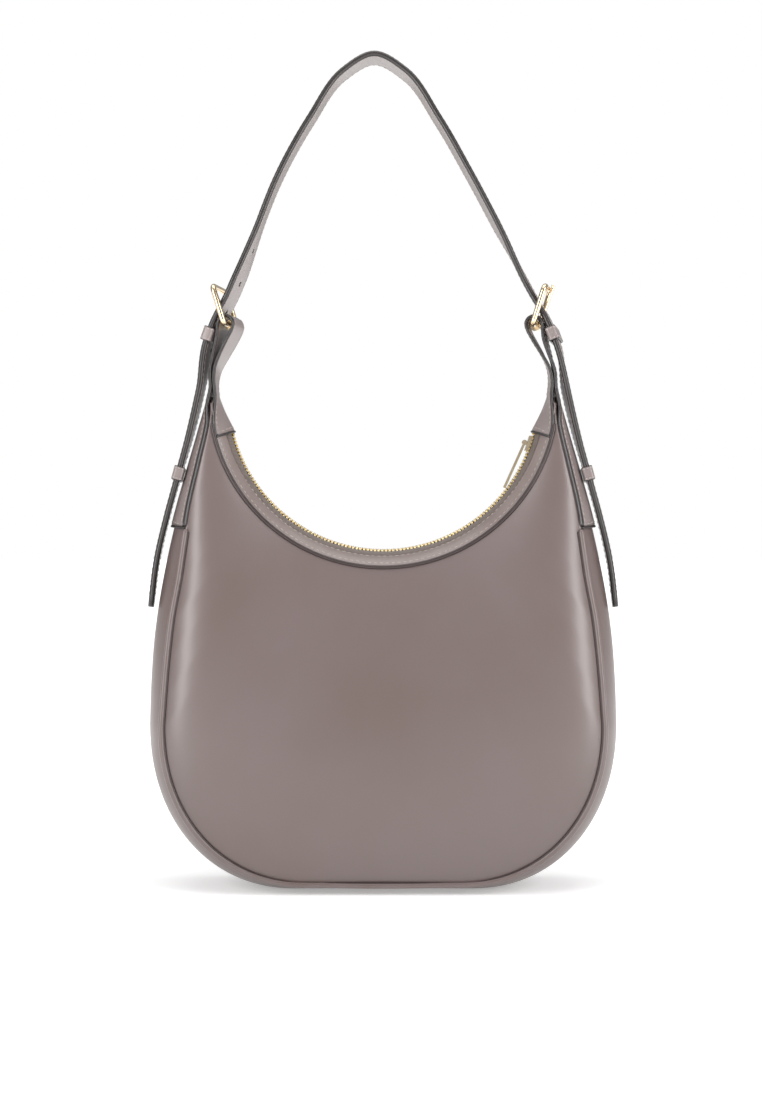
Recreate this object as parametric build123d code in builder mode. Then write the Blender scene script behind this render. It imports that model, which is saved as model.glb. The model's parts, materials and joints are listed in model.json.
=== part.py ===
from build123d import *
from math import degrees, hypot
import os

os.makedirs("parts", exist_ok=True)

# Hobo bag. X runs left to right, Y from front to back, Z up, in millimetres.
# The origin is on the floor under the middle of the bag.

# ---- Driving dimensions: body ----
crest_half_width = 158.4  # widest point, in the middle of the gusset
widest_height = 112.0  # height of that widest point
horn_half_span = 118.0  # half the distance between the two horns
horn_height = 322.0  # where the gusset ends at each horn
panel_edge_depth = 40.0  # half the depth over the two panels
shoulder_depth = 25.0  # where the crowned gusset starts to fall away
edge_inset = 16.0  # how far the panel edge lies inside the crest of the gusset
shoulder_inset = 6.0  # how far the gusset shoulder lies inside its crest
shoulder_rise = 3.5  # how far the gusset shoulder rises above its crest at the base
edge_rise = 11.5  # how far the panel edge rises above the crest at the base
crest_sink = 2.0  # the crest is pressed flat on the floor by this much
corner_centre = 66.0  # half width of the straight part of the base
leather_thickness = 2.4
lining_thickness = 0.8
piping_size = 3.6
board_thickness = 2.0
board_half_width = 66.0
board_half_depth = 20.0
pocket_half_width = 68.0
pocket_bottom = 85.0
pocket_top = 178.0
pocket_thickness = 1.0

# ---- Driving dimensions: mouth and zip ----
mouth_centre_rise = 12.5  # centre of the crescent mouth, above the horns
horn_margin = 1.0  # leather left at a horn outside the mouth seam
band_width = 11.0  # from the middle of the teeth out to the seam, seen from the front
mouth_angle = 76.5  # each side of the lowest point, up to the sewn ends
fixed_angle = 64.0  # beyond this the zip is sewn down at the horn
slider_angle = 71.5  # where the slider stands with the bag closed
mouth_hinge_drop = 10.0  # below the horns
band_thickness = 1.6
tape_thickness = 0.5
band_inner_depth = 5.8
band_outer_depth = 18.0
tooth_depth = 2.5
tooth_height = 2.2
tooth_gap = 0.5  # half the slot between the two rows of teeth
slider_length = 11.0
slider_half_width = 4.5
slider_plate = 1.0
pull_length = 34.0
pull_width = 5.0
pull_thickness = 1.6
stop_length = 1.8

# ---- Driving dimensions: strap, tabs and buckles ----
strap_width = 25.0
strap_thickness = 4.0
tab_thickness = 2.4
side_tab_length = 77.0  # below the horn
zip_tab_length = 11.5  # below the horn
neck_rise = 30.0  # the strap folds forward and back about this height above the horns
neck_inset = 2.4  # the neck stands this far inside the horn
heel_shift = 11.6  # the heel bar stands this far inside the neck
heel_rise = 30.0  # and this far above it
frame_length = 26.25  # heel bar to toe bar
frame_lean = 17.7  # degrees that the buckle leans outward
wire_radius = 1.9
heel_bar_radius = 1.7
frame_corner = 4.0
strap_rise = 212.5  # top of the arch above the fold
tail_length = 162.0  # the tails hang this far below the fold
prong_radius = 1.3
prong_overhang = 3.5
eye_wall = 1.9  # metal of the prong's eye round the heel bar
eye_width = 4.0
keeper_thickness = 1.5
keeper_height = 9.0
upper_keeper_drop = 7.0  # below the heel bar
lower_keeper_drop = 42.0  # below the horn
hole_radius = 1.7
hole_spacing = 25.0
hole_slot_length = 13.5

# ---- Named clearances ----
body_gap = 0.3
pin_gap = 0.08
fold_gap = 0.4
band_end_gap = 2.0
keeper_gap = 0.3
lining_gap = 0.4
slider_gap = 0.5
pull_gap = 0.4
stop_gap = 0.1
eye_gap = 0.55
frame_gap = 1.1
piping_end_gap = 11.5
tab_gap = 0.35

mouth_centre_height = horn_height + mouth_centre_rise
seam_radius = horn_half_span - horn_margin
chain_radius = seam_radius - band_width
mouth_hinge_height = horn_height - mouth_hinge_drop
neck_height = horn_height + neck_rise
neck_x = horn_half_span - neck_inset
tab_bottom = horn_height - side_tab_length
heel = Vector(neck_x - heel_shift, 0, neck_height + heel_rise)
lean_line = Vector(0, 0, 1).rotate(Axis.Y, frame_lean)
toe = heel + lean_line * frame_length
strap_half = strap_width / 2
fold_floor = neck_height - strap_half - fold_gap
mouth_axis = Axis((0, 0, mouth_centre_height), (0, -1, 0))
frame_inner_width = strap_width + 2 * frame_gap
eye_radius = heel_bar_radius + eye_wall
loop_radius = eye_radius + eye_gap + tab_thickness / 2  # middle of the tab leather round the heel bar
reach = 400.0  # longer than any piece


# ---- Shared shapes ----
def side_points(inset, grow):
    """Right side of the outline, from the widest point up to just above the horn."""
    wide = crest_half_width - inset + grow
    top = horn_height + 10
    rise = top - widest_height
    lean = horn_half_span - inset * 1.35 + grow
    return [
        (wide, widest_height),
        (wide - 3.0 - inset * 0.25, widest_height + rise * 0.264),
        (wide * 0.56 + lean * 0.44, widest_height + rise * 0.63),
        (lean, top),
    ]


def crest_at(height):
    """Half width of the bag along the crest of the gusset at a height."""
    with BuildLine(mode=Mode.PRIVATE) as side:
        Spline(*side_points(0, 0), tangents=[(0, 1), (-0.25, 1)])
    edge = side.line.edges()[0]
    low, high = 0.0, 1.0
    while high - low > 1e-5:
        share = (low + high) / 2
        if edge.position_at(share).Y < height:
            low = share
        else:
            high = share
    return edge.position_at(low).X


def beside_crest(height, distance):
    """Half width at a height of a point that stands off the crest, square to it, by a distance."""
    slope = (crest_at(height - 1) - crest_at(height + 1)) / 2
    return crest_at(height) + distance * hypot(1, slope)


def body_outline(depth, inset, rise, grow):
    """Closed front-view outline of the bag at one depth, grown or shrunk all round."""
    upper = side_points(inset, grow)
    wide = upper[0][0]
    lean, top = upper[-1]
    corner = corner_centre - inset / 2
    low = rise - crest_sink - grow
    with BuildSketch(Plane.XZ.offset(depth)) as outline:
        with BuildLine():
            Line((0, low), (corner, low))
            EllipticalCenterArc((corner, widest_height), wide - corner, widest_height - low, start_angle=-90)
            Spline(*upper, tangents=[(0, 1), (-0.25, 1)])
            Line((lean, top), (0, top))
            mirror(about=Plane.YZ)
        make_face()
    return outline.sketch


def body_sections(grow):
    """Outlines from front to back; the crest of the gusset is the middle one."""
    shapes = [
        (panel_edge_depth, edge_inset, edge_rise),
        (shoulder_depth, shoulder_inset, shoulder_rise),
        (0, 0, 0),
        (-shoulder_depth, shoulder_inset, shoulder_rise),
        (-panel_edge_depth, edge_inset, edge_rise),
    ]
    return [body_outline(depth, inset, rise, grow) for depth, inset, rise in shapes]


def wall_line(inset):
    """Side-view line of the front panel: deep at the base and narrow at the mouth."""
    full = panel_edge_depth - inset
    low = mouth_centre_height - seam_radius
    belly = low - 68
    return [
        (full - 7.0, -10.0),
        (full - 1.5, belly * 0.27),
        (full, belly * 0.67),
        (full - 2.5, belly),
        (full - 10.0, low - 31),
        (full - 18.5, low - 2),
        (full - 22.0, low + 28),
        (full - 24.0, low + 63),
        (full - 26.0, horn_height + 14),
    ]


def wall_strip(facing, inset, thickness):
    """Side-view strip of one wall; facing is -1 for the front and 1 for the back."""
    outer = [(facing * y, z) for y, z in wall_line(inset)]
    inner = [(facing * y, z) for y, z in wall_line(inset + thickness)]
    with BuildSketch(Plane.YZ) as strip:
        with BuildLine():
            Spline(*outer)
            Line(outer[-1], inner[-1])
            Spline(*inner)
            Line(inner[0], outer[0])
        make_face()
    return strip.sketch


def space_between_walls(inset, floor):
    """Side view of the space between the two walls, above a floor height."""
    front = [(-y, z) for y, z in wall_line(inset)]
    back = [(y, z) for y, z in wall_line(inset)]
    with BuildSketch(Plane.YZ) as space:
        with BuildLine():
            Spline(*front)
            Line(front[-1], back[-1])
            Spline(*back)
            Line(back[0], front[0])
        make_face()
        with Locations((0, floor)):
            Rectangle(reach, reach, align=(Align.CENTER, Align.MAX), mode=Mode.SUBTRACT)
    return space.sketch


def mouth_disc(radius):
    """Round space above the crescent."""
    with BuildSketch(Plane.XZ) as disc:
        with Locations((0, mouth_centre_height)):
            Circle(radius)
    return disc.sketch


def arc_angle(length):
    """Degrees round the mouth that a length along the row of teeth takes up."""
    return degrees(length / chain_radius)


def ring_section(start_angle, corners):
    """Section of a piece that runs round the mouth, from (radius, depth) corners."""
    turn = Vector(0, 0, -1).rotate(Axis.Y, -start_angle)
    along = Vector(1, 0, 0).rotate(Axis.Y, -start_angle)
    plane = Plane(origin=(0, 0, mouth_centre_height), x_dir=turn, z_dir=along)
    with BuildSketch(plane) as section:
        with BuildLine():
            Polyline(*corners, close=True)
        make_face()
    return section.sketch


def strip_face(points, thickness):
    """Front-view face of a strip of leather whose middle line passes through points."""
    with BuildLine(mode=Mode.PRIVATE) as middle:
        Spline(*points)
    edge = middle.line.edges()[0]
    shares = [edge.param_at_point(Vector(x, z)) for x, z in points]
    outer = []
    inner = []
    for share in shares:
        spot = edge @ share
        across = (edge % share).rotate(Axis.Z, 90) * (thickness / 2)
        outer.append((spot.X + across.X, spot.Y + across.Y))
        inner.append((spot.X - across.X, spot.Y - across.Y))
    with BuildSketch(Plane.XZ) as strip:
        with BuildLine():
            Spline(*outer)
            Line(outer[-1], inner[-1])
            Spline(*inner)
            Line(inner[0], outer[0])
        make_face()
    return strip.sketch


def save(piece, name):
    """Label one finished piece and write it out."""
    piece.label = name
    export_step(piece, f"parts/{name}.step")
    print(name, round(piece.volume))


def save_pair(right_piece, name):
    """Write a piece of the right side, and its mirror for the left side."""
    save(right_piece, f"right_{name}")
    with BuildPart() as left_piece:
        mirror(right_piece, about=Plane.YZ)
    save(left_piece.part, f"left_{name}")


# ---- Front and back panels ----
for name, facing in (("front_panel", -1), ("back_panel", 1)):
    with BuildPart() as panel:
        loft(body_sections(0), ruled=True)
        extrude(wall_strip(facing, 0, leather_thickness), reach / 2, both=True, mode=Mode.INTERSECT)
        extrude(mouth_disc(seam_radius + body_gap), reach / 2, both=True, mode=Mode.SUBTRACT)
        with BuildSketch(Plane.XY):
            Rectangle(reach, reach)
        extrude(amount=horn_height, mode=Mode.INTERSECT)
    save(panel.part, name)

# ---- Gusset: one strip round the sides and the base ----
with BuildPart() as gusset_core:
    loft(body_sections(-leather_thickness), ruled=True)
    with BuildSketch(Plane.XY.offset(leather_thickness)):
        Rectangle(reach, reach)
    extrude(amount=reach, mode=Mode.INTERSECT)
with BuildPart() as gusset:
    loft(body_sections(0), ruled=True)
    extrude(space_between_walls(leather_thickness, 0), reach / 2, both=True, mode=Mode.INTERSECT)
    with BuildSketch(Plane.XY.offset(horn_height)):
        Rectangle(reach, reach)
    extrude(amount=reach, mode=Mode.SUBTRACT)
    add(gusset_core.part, mode=Mode.SUBTRACT)
save(gusset.part, "gusset")

# ---- Piping along the edge of each panel ----
for name, facing in (("front_piping", -1), ("back_piping", 1)):
    with BuildPart() as piping:
        loft(body_sections(piping_size / 2), ruled=True)
        extrude(wall_strip(facing, -0.4, piping_size), reach / 2, both=True, mode=Mode.INTERSECT)
        loft(body_sections(0), ruled=True, mode=Mode.SUBTRACT)
        with BuildSketch(Plane.XY.offset(tab_bottom - piping_end_gap)):
            Rectangle(reach, reach)
        extrude(amount=-reach, mode=Mode.INTERSECT)
    save(piping.part, name)

# ---- Base board, lining and inner pocket ----
board_bottom = leather_thickness + 2.0
with BuildPart() as base_board:
    with BuildSketch(Plane.XY.offset(board_bottom)):
        RectangleRounded(2 * board_half_width, 2 * board_half_depth, 12)
    extrude(amount=board_thickness)
save(base_board.part, "base_board")

lining_inset = leather_thickness + lining_gap
lining_floor = board_bottom + board_thickness + lining_gap
lining_top = mouth_hinge_height - 4
with BuildPart() as lining_core:
    loft(body_sections(-lining_inset - lining_thickness), ruled=True)
    inner_space = space_between_walls(lining_inset + lining_thickness, lining_floor + lining_thickness)
    extrude(inner_space, reach / 2, both=True, mode=Mode.INTERSECT)
with BuildPart() as lining:
    loft(body_sections(-lining_inset), ruled=True)
    outer_space = space_between_walls(lining_inset, lining_floor)
    extrude(outer_space, reach / 2, both=True, mode=Mode.INTERSECT)
    extrude(mouth_disc(seam_radius + 1.5), reach / 2, both=True, mode=Mode.SUBTRACT)
    with BuildSketch(Plane.XY.offset(lining_top)):
        Rectangle(reach, reach)
    extrude(amount=reach, mode=Mode.SUBTRACT)
    add(lining_core.part, mode=Mode.SUBTRACT)
save(lining.part, "lining")

pocket_inset = lining_inset + lining_thickness + lining_gap
with BuildPart() as inner_pocket:
    extrude(wall_strip(1, pocket_inset, pocket_thickness), pocket_half_width, both=True)
    with BuildSketch(Plane.XZ):
        with Locations((0, (pocket_bottom + pocket_top) / 2)):
            Rectangle(2 * pocket_half_width, pocket_top - pocket_bottom)
    extrude(amount=reach / 2, both=True, mode=Mode.INTERSECT)
save(inner_pocket.part, "inner_pocket")

# ---- Zip bands, tapes and teeth: two halves that part, and short ends sewn down at the horns ----
band_reach = band_outer_depth - band_inner_depth
band_rise = seam_radius - 0.4 - chain_radius
slope = Vector(band_rise, -band_reach).normalized()
inward = Vector(-slope.Y, slope.X)
band_edge = Vector(chain_radius - 0.4, -band_inner_depth)
band_foot = band_edge + slope * (band_reach - 1.0)


def ring_corners(facing, corners):
    """Mirror a set of section corners to the back half when facing is 1."""
    return [(corner.X, -facing * corner.Y) for corner in corners]


band_corners = [
    band_edge,
    band_foot,
    band_foot + inward * band_thickness,
    band_edge + inward * band_thickness,
]
tape_top = band_edge + inward * (band_thickness + 0.1)
tape_low = band_edge + inward * (band_thickness + 0.1 + tape_thickness)
tape_reach = slope * (band_reach - 4.0)
tooth_inner = tooth_gap + tooth_depth
tape_corners = [
    Vector(chain_radius, -tooth_inner),
    tape_top,
    tape_top + tape_reach,
    tape_low + tape_reach,
    tape_low,
    Vector(chain_radius + tape_thickness, -tooth_inner),
]
tooth_corners = [
    Vector(chain_radius - tooth_height / 2, -tooth_gap),
    Vector(chain_radius - tooth_height / 2, -tooth_inner),
    Vector(chain_radius + tooth_height / 2, -tooth_inner),
    Vector(chain_radius + tooth_height / 2, -tooth_gap),
]
moving_angle = fixed_angle - arc_angle(band_end_gap)
ring_parts = (("band", band_corners), ("tape", tape_corners), ("teeth", tooth_corners))
for part_name, corners in ring_parts:
    for facing, side_name in ((-1, "front"), (1, "back")):
        with BuildPart() as mouth_half:
            section = ring_section(-moving_angle, ring_corners(facing, corners))
            revolve(section, axis=mouth_axis, revolution_arc=2 * moving_angle)
        save(mouth_half.part, f"{side_name}_zip_{part_name}")
    last_angle = mouth_angle
    if part_name == "teeth":
        last_angle = mouth_angle - arc_angle(stop_length)
    with BuildPart() as zip_ends:
        for facing in (-1, 1):
            for start in (-last_angle, fixed_angle):
                section = ring_section(start, ring_corners(facing, corners))
                revolve(section, axis=mouth_axis, revolution_arc=last_angle - fixed_angle)
    save(zip_ends.part, f"zip_{part_name}_ends")

stop_start = mouth_angle - arc_angle(stop_length - stop_gap)
stop_arc = mouth_angle - stop_start
with BuildPart() as zip_top_stops:
    for facing in (-1, 1):
        section = ring_section(stop_start, ring_corners(facing, tooth_corners))
        revolve(section, axis=mouth_axis, revolution_arc=stop_arc)
save(zip_top_stops.part, "zip_top_stops")

stop_corners = [
    Vector(chain_radius - tooth_height / 2, tooth_inner),
    Vector(chain_radius - tooth_height / 2, -tooth_inner),
    Vector(chain_radius + tooth_height / 2, -tooth_inner),
    Vector(chain_radius + tooth_height / 2, tooth_inner),
]
with BuildPart() as zip_bottom_stop:
    section = ring_section(-mouth_angle, ring_corners(-1, stop_corners))
    revolve(section, axis=mouth_axis, revolution_arc=stop_arc)
save(zip_bottom_stop.part, "zip_bottom_stop")

# ---- Zip slider: two plates, a thin web between the rows of teeth, and flanges at the edges ----
top_low = chain_radius - tooth_height / 2 - slider_gap
top_high = top_low - slider_plate
under_low = chain_radius + tooth_height / 2 + slider_gap
under_high = under_low + slider_plate
web_half = tooth_gap - 0.2
flange_inner = tooth_inner + 0.4
flange_low = top_low + 1.0
slider_corners = [
    (top_high, -slider_half_width),
    (flange_low, -slider_half_width),
    (flange_low, -flange_inner),
    (top_low, -flange_inner),
    (top_low, -web_half),
    (under_low, -web_half),
    (under_low, -tooth_inner),
    (under_high, -tooth_inner),
    (under_high, tooth_inner),
    (under_low, tooth_inner),
    (under_low, web_half),
    (top_low, web_half),
    (top_low, flange_inner),
    (flange_low, flange_inner),
    (flange_low, slider_half_width),
    (top_high, slider_half_width),
]
slider_arc = arc_angle(slider_length)
bail_radius = 1.9
bail_half = 0.8
pin_radius = 0.75
bail_centre = Vector(0, 0, -(top_high - bail_radius + 0.2)).rotate(Axis.Y, -slider_angle)
bail_centre = bail_centre + Vector(0, 0, mouth_centre_height)
bail_plane = Plane(origin=bail_centre, x_dir=(1, 0, 0), z_dir=(0, -1, 0))
with BuildPart() as zip_slider:
    section = ring_section(slider_angle - slider_arc / 2, slider_corners)
    revolve(section, axis=mouth_axis, revolution_arc=slider_arc)
    with BuildSketch(bail_plane):
        Circle(bail_radius)
    extrude(amount=bail_half, both=True)
    with BuildSketch(bail_plane):
        Circle(pin_radius + pin_gap)
    extrude(amount=bail_half, both=True, mode=Mode.SUBTRACT)
save(zip_slider.part, "zip_slider")

# ---- Zip pull: a slim bar with two ears on a pin through the slider's lug ----
pull_tip_angle = slider_angle - arc_angle(pull_length)
pull_tip_radius = chain_radius - tooth_height / 2 - pull_gap - pull_thickness / 2
pull_tip = Vector(0, 0, -pull_tip_radius).rotate(Axis.Y, -pull_tip_angle)
pull_tip = pull_tip + Vector(0, 0, mouth_centre_height)
pull_line = (pull_tip - bail_centre).normalized()
pull_plane = Plane(origin=bail_centre, x_dir=pull_line, z_dir=(0, -1, 0))
ear_start = bail_half + 0.25
with BuildPart() as zip_pull:
    with BuildSketch(pull_plane):
        Circle(1.5)
        with Locations((3.0, 0)):
            Rectangle(6.0, pull_thickness)
    extrude(amount=pull_width / 2, both=True)
    with BuildSketch(pull_plane):
        Rectangle(2 * (bail_radius + 0.6), 6.0)
    extrude(amount=ear_start, both=True, mode=Mode.SUBTRACT)
    with BuildSketch(pull_plane):
        with Locations((pull_length / 2 + 2, 0)):
            Rectangle(pull_length - 4, pull_thickness)
    extrude(amount=pull_width / 2, both=True)
    with BuildSketch(pull_plane):
        Circle(pin_radius)
    extrude(amount=ear_start + 0.2, both=True)
save(zip_pull.part, "zip_pull")

# ---- Strap: one long strip through both buckles, with its two tails hanging outside ----
tail_standoff = tab_gap + tab_thickness + keeper_thickness + 2 * keeper_gap + strap_thickness / 2 + 0.3
tail_tip = neck_height - tail_length
arch_shares = [(0.182, 0.948), (0.376, 0.8), (0.571, 0.612), (0.735, 0.419), (0.885, 0.24)]
strap_points = [(0.0, neck_height + strap_rise)]
for across, up in arch_shares:
    strap_points.append((neck_x * across, neck_height + strap_rise * up))
strap_points.append((heel.X + loop_radius + 4.05, heel.Z + 1.0))
strap_points.append((neck_x + 3.4, neck_height + 16.0))
strap_points.append((neck_x + 9.0, neck_height - 14.0))
for fall in (48.0, 75.0, 102.0, 130.0):
    strap_points.append((beside_crest(neck_height - fall, tail_standoff), neck_height - fall))
strap_points.append((beside_crest(tail_tip, tail_standoff - 1.5), tail_tip))
hole_height = heel.Z + 6.5  # the prong comes through the strap here
whole_strap = [(-x, z) for x, z in strap_points[:0:-1]] + strap_points
strap_face = strip_face(whole_strap, strap_thickness)


def fold_shape():
    """Side view of all that turns with the strap, with a round end about the fold."""
    with BuildSketch(Plane.YZ) as shape:
        with Locations((0, neck_height)):
            Rectangle(strap_width, reach, align=(Align.CENTER, Align.MIN))
            Circle(strap_half)
    return shape.sketch


def hanging_shape(top, bottom):
    """Side view of a strip that hangs from the fold to a rounded lower end."""
    with BuildSketch(Plane.YZ) as shape:
        with Locations((0, top)):
            Rectangle(strap_width, top - bottom - strap_half, align=(Align.CENTER, Align.MAX))
        with Locations((0, bottom + strap_half)):
            Circle(strap_half)
    return shape.sketch


def strap_station(length):
    """Place and direction on the right half of the strap, measured down from its top."""
    with BuildLine(mode=Mode.PRIVATE) as middle:
        Spline(*whole_strap)
    edge = middle.line.edges()[0]
    share = 0.5 + length / edge.length
    spot = edge.position_at(share)
    heading = edge.tangent_at(share)
    return Vector(spot.X, 0, spot.Y), Vector(heading.X, 0, heading.Y)


def strap_plane(length, side=1):
    """Plane on the strap that faces out through it, with its X down along the strap."""
    spot, heading = strap_station(length)
    out = heading.rotate(Axis.Y, -90)
    origin = (side * spot.X, 0, spot.Z)
    return Plane(origin=origin, x_dir=(side * heading.X, 0, heading.Z), z_dir=(side * out.X, 0, out.Z))


def length_at(height):
    """Length along the right half of the strap, from its top down to a height."""
    length = 0.0
    while strap_station(length)[0].Z > height:
        length += 0.5
    return length


hole_length = length_at(hole_height)
with BuildPart() as shoulder_strap:
    extrude(strap_face, strap_half, both=True)
    extrude(fold_shape(), reach / 2, both=True, mode=Mode.INTERSECT)
    for side in (-1, 1):
        with BuildSketch(strap_plane(hole_length, side)):
            SlotOverall(hole_slot_length, 2 * hole_radius)
        extrude(amount=strap_thickness, both=True, mode=Mode.SUBTRACT)
        with BuildSketch(strap_plane(hole_length - hole_spacing, side)):
            Circle(hole_radius)
        extrude(amount=strap_thickness, both=True, mode=Mode.SUBTRACT)
save(shoulder_strap.part, "shoulder_strap")

with BuildPart() as strap_tail:
    extrude(strap_face, strap_half, both=True)
    with BuildSketch(Plane.YZ):
        Rectangle(reach, 2 * reach)
    extrude(amount=-reach, mode=Mode.SUBTRACT)
    extrude(hanging_shape(fold_floor, tail_tip), reach / 2, both=True, mode=Mode.INTERSECT)
    for count in (3, 4):
        with BuildSketch(strap_plane(hole_length + count * hole_spacing)):
            Circle(hole_radius)
        extrude(amount=strap_thickness, both=True, mode=Mode.SUBTRACT)
save_pair(strap_tail.part, "strap_tail")

# ---- Buckle tabs: each is folded round the heel bar, with both layers reaching the fold ----
layer_shift = tab_thickness / 2 + 0.1
inner_leg = [
    (heel.X - 4.7, heel.Z - 2.4),
    (heel.X + 3.4, heel.Z - 17.5),
    (neck_x - layer_shift - 0.6, neck_height - 1.0),
    (neck_x - layer_shift, fold_floor - 1.0),
]
outer_leg = [
    (heel.X + 5.3, heel.Z + 0.7),
    (heel.X + 6.3, heel.Z - 9.0),
    (heel.X + 9.4, heel.Z - 20.0),
    (neck_x + layer_shift - 0.2, neck_height - 1.0),
    (neck_x + layer_shift, fold_floor - 1.0),
]
loop_outer = loop_radius + tab_thickness / 2
prong_slot = eye_width + 1.2
heel_plane = Plane(origin=heel, x_dir=(1, 0, 0), z_dir=(0, -1, 0))
with BuildPart() as buckle_tab:
    extrude(strip_face(inner_leg, tab_thickness), strap_half, both=True)
    extrude(strip_face(outer_leg, tab_thickness), strap_half, both=True)
    with BuildSketch(heel_plane):
        Circle(loop_outer)
        Circle(loop_radius - tab_thickness / 2, mode=Mode.SUBTRACT)
        with BuildLine():
            Polyline((0, 0), (-12, -6.1), (-12, -20), (20, -20), (20, 2.6), close=True)
        make_face(mode=Mode.SUBTRACT)
    extrude(amount=strap_half, both=True)
    extrude(fold_shape(), reach / 2, both=True, mode=Mode.INTERSECT)
    with BuildSketch(heel_plane):
        with Locations((1.0, 1.0)):
            Rectangle(2 * loop_outer, 2 * loop_outer)
    extrude(amount=prong_slot / 2, both=True, mode=Mode.SUBTRACT)
save_pair(buckle_tab.part, "buckle_tab")

# ---- Side tabs and zip end tabs: the same leather below the fold, sewn to the bag ----
tab_rest = tab_gap + tab_thickness / 2
side_tab_points = [(neck_x + layer_shift, fold_floor + 2.0)]
for drop in (0.0, 18.0, 42.0, 62.0):
    side_tab_points.append((beside_crest(horn_height - drop, tab_rest), horn_height - drop))
side_tab_points.append((beside_crest(tab_bottom - 3.0, tab_rest), tab_bottom - 3.0))
with BuildPart() as side_tab:
    extrude(strip_face(side_tab_points, tab_thickness), strap_half, both=True)
    extrude(hanging_shape(fold_floor, tab_bottom), reach / 2, both=True, mode=Mode.INTERSECT)
save_pair(side_tab.part, "side_tab")


def chevron(height, crest, flank):
    """Level section of the zip end tab: flat at the neck, folded like a roof over the zip."""
    with BuildSketch(Plane.XY.offset(height)) as section:
        with BuildLine():
            Polyline(
                (crest, 0),
                (flank, strap_half),
                (flank + tab_thickness, strap_half),
                (crest + tab_thickness, 0),
                (flank + tab_thickness, -strap_half),
                (flank, -strap_half),
                close=True,
            )
        make_face()
    return section.sketch


inner_face = neck_x - layer_shift - tab_thickness / 2
with BuildPart() as zip_end_tab:
    crest = chain_radius * 0.9724 + 0.1
    flank = seam_radius * 0.9724 - 1.4
    low_section = chevron(horn_height - zip_tab_length, crest, flank)
    top_section = chevron(fold_floor, inner_face - 0.2, inner_face)
    loft([low_section, top_section], ruled=True)
save_pair(zip_end_tab.part, "zip_end_tab")


# ---- Keepers: closed loops that hold the tails ----
def keeper(length, name):
    """A loop round the strap at one place along it."""
    place = strap_plane(length)
    hollow_width = strap_width + 2 * keeper_gap
    hollow_depth = strap_thickness + 2 * keeper_gap
    across = Plane(origin=place.origin, x_dir=(0, 1, 0), z_dir=place.x_dir)
    with BuildPart() as loop_piece:
        with BuildSketch(across):
            RectangleRounded(hollow_width + 2 * keeper_thickness, hollow_depth + 2 * keeper_thickness, 1.4)
            Rectangle(hollow_width, hollow_depth, mode=Mode.SUBTRACT)
        extrude(amount=keeper_height / 2, both=True)
    save_pair(loop_piece.part, name)


keeper(length_at(heel.Z - upper_keeper_drop), "upper_keeper")
keeper(length_at(horn_height - lower_keeper_drop), "lower_keeper")

# ---- Buckle frames and prongs ----
half_frame = frame_inner_width / 2 + wire_radius
prong_out = Vector(lean_line.Z, 0, -lean_line.X)
frame_plane = Plane(origin=heel, x_dir=(0, 1, 0), z_dir=prong_out)
with BuildPart() as buckle_frame:
    with BuildLine(frame_plane) as wire_path:
        FilletPolyline(
            (half_frame, -wire_radius),
            (half_frame, frame_length),
            (-half_frame, frame_length),
            (-half_frame, -wire_radius),
            radius=frame_corner,
        )
    with BuildSketch(Plane(origin=wire_path.line @ 0, z_dir=lean_line)):
        Circle(wire_radius)
    sweep()
    with BuildSketch(Plane(origin=heel, z_dir=(0, 1, 0))):
        Circle(heel_bar_radius)
    extrude(amount=half_frame, both=True)
save_pair(buckle_frame.part, "buckle_frame")

prong_root = heel + prong_out * (eye_radius - prong_radius)
prong_tip = toe + prong_out * (wire_radius + prong_radius + 0.1)
prong_line = (prong_tip - prong_root).normalized()
prong_end = prong_tip + prong_line * prong_overhang
with BuildPart() as buckle_prong:
    with BuildSketch(heel_plane):
        Circle(eye_radius)
    extrude(amount=eye_width / 2, both=True)
    with BuildSketch(Plane(origin=prong_root, z_dir=prong_line)):
        Circle(prong_radius)
    extrude(amount=(prong_end - prong_root).length)
    with BuildSketch(heel_plane):
        Circle(heel_bar_radius + pin_gap)
    extrude(amount=eye_width, both=True, mode=Mode.SUBTRACT)
save_pair(buckle_prong.part, "buckle_prong")
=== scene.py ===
import json
import math

import bmesh
import bpy
import numpy as np
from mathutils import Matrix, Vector
from mathutils.bvhtree import BVHTree


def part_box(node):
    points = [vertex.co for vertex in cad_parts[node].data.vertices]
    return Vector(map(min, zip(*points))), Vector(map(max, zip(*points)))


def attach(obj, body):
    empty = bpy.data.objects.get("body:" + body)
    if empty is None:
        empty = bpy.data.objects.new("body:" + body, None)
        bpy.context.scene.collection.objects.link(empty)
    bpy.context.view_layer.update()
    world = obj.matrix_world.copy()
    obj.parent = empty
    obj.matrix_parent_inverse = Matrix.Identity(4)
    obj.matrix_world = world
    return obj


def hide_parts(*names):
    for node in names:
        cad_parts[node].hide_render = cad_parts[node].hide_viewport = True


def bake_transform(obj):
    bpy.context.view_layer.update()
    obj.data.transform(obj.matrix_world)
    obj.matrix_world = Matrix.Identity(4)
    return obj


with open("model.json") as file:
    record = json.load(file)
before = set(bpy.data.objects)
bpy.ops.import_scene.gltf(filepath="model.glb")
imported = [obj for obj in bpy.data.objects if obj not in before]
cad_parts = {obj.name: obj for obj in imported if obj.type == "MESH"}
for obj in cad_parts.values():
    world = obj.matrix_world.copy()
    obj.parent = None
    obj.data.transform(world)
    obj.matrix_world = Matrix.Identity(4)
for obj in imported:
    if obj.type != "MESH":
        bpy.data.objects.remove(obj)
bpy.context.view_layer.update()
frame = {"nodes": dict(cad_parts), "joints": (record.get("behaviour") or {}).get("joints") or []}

mm = 0.001
jointPlace = {joint["name"]: np.array(joint["pos_m"]) for joint in frame["joints"]}
mouthCentre = jointPlace["zip_travel"][2]  # the crescent mouth and the zip turn about this height
foldHeight = jointPlace["strap_fold"][2]  # the necks fold here
heel = jointPlace["right_buckle_tilt"]  # bar of the buckle that the neck is folded round
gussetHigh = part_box("gusset")[1]
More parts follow.
